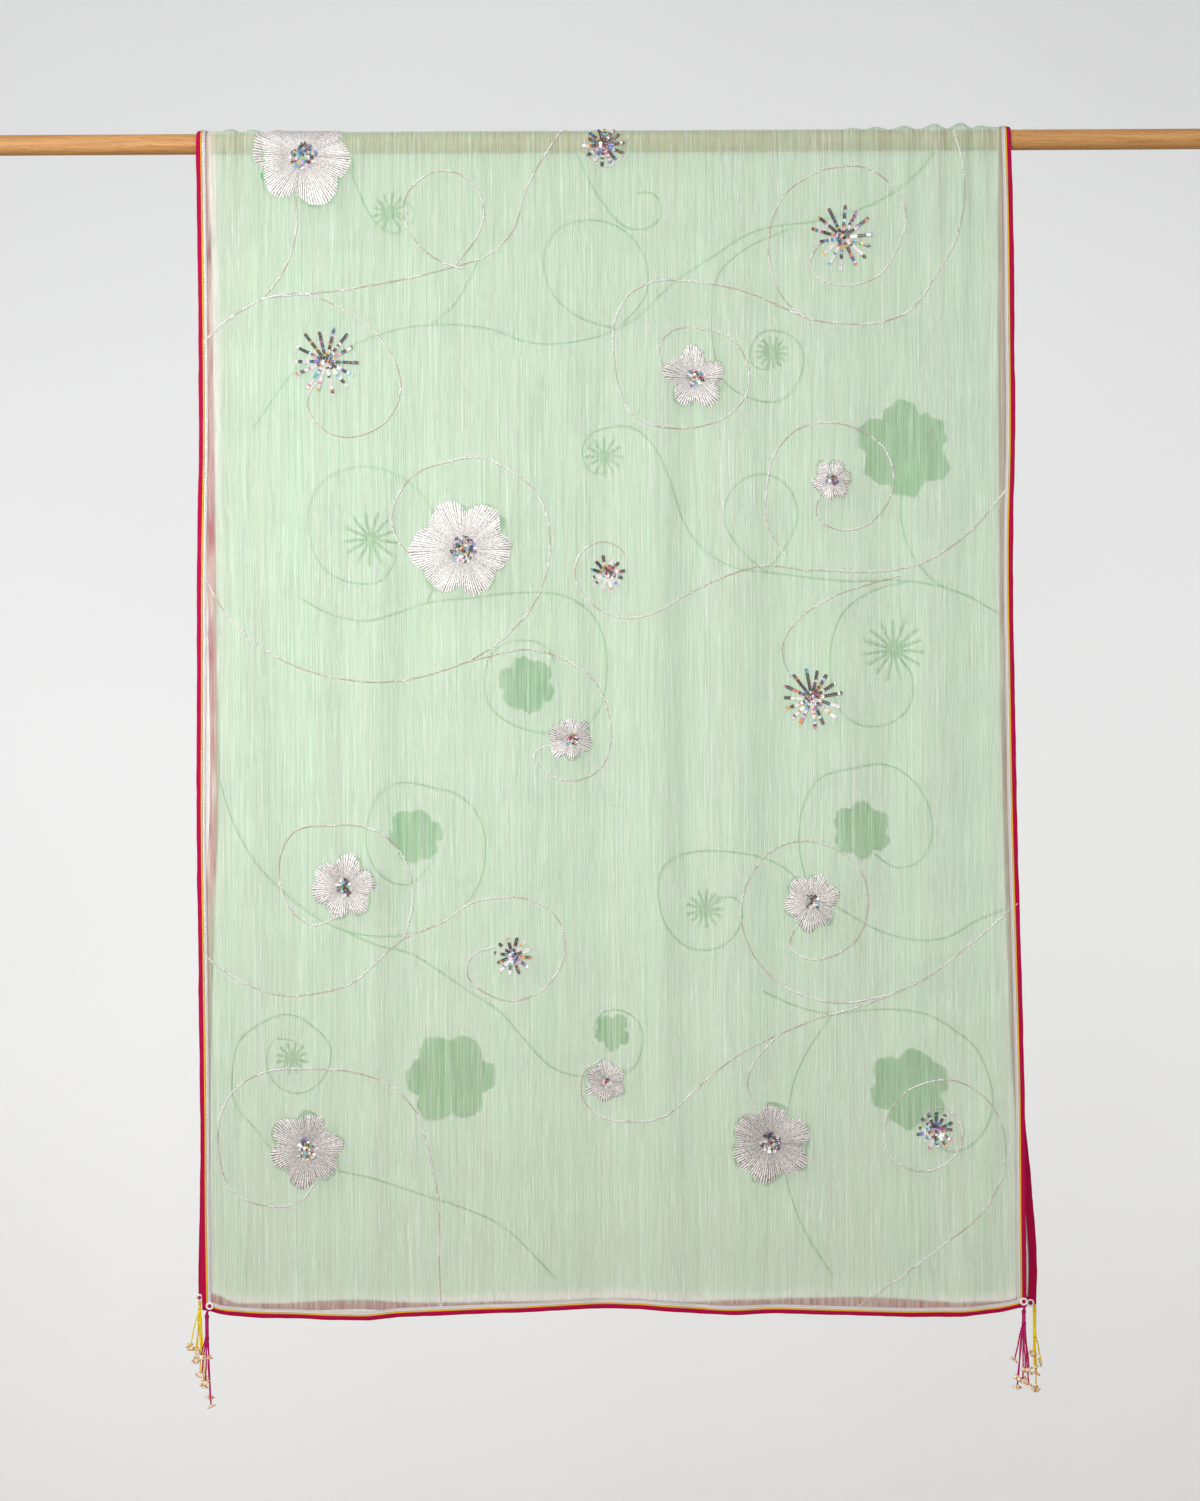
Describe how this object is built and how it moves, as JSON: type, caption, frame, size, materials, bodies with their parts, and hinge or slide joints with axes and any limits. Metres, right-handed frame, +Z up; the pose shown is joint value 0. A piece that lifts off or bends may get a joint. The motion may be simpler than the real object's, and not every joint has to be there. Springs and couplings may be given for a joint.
{
  "type": "dupatta stole hung on a wooden rod",
  "caption": "Sheer embroidered dupatta stole with a bound border and corner tassels, folded evenly over a plain round wooden rod.",
  "frame": {"origin": "the middle of the rod's axis, where the rod is held", "axes": "+X along the rod, +Z up, the front fall hangs towards -Y"},
  "size_m": [1.4, 0.0597, 1.3537],
  "materials": {
    "rod_wood": "oiled, satin",
    "mint_cloth": "sheer crinkled silk and cotton, matt with a soft sheen",
    "crimson_satin": "satin, soft sheen",
    "yellow_piping": "corded piping, satin",
    "silver_lace": "metallic thread lace",
    "silver_thread": "metallic thread stitches",
    "sequin": "iridescent sequins and small beads",
    "shell_ring": "pearly",
    "magenta_thread": "twisted thread, satin",
    "gold_thread": "twisted thread, satin"
  },
  "bodies": {
    "root": {"border_back": "crimson_satin", "border_front": "crimson_satin", "border_over_rod_left": "crimson_satin", "border_over_rod_right": "crimson_satin", "cloth_back_fall": "mint_cloth", "cloth_front_fall": "mint_cloth", "cloth_over_rod": "mint_cloth", "lace_back": "silver_lace", "lace_front": "silver_lace", "lace_over_rod_left": "silver_lace", "lace_over_rod_right": "silver_lace", "piping_back": "yellow_piping", "piping_front": "yellow_piping", "piping_over_rod_left": "yellow_piping", "piping_over_rod_right": "yellow_piping", "ring_back_left": "shell_ring", "ring_back_right": "shell_ring", "ring_front_left": "shell_ring", "ring_front_right": "shell_ring", "tassel_back_left": "gold_thread", "tassel_back_right": "gold_thread", "tassel_front_left": "magenta_thread", "tassel_front_right": "magenta_thread", "wooden_rod": "rod_wood"}
  },
  "joints": []
}
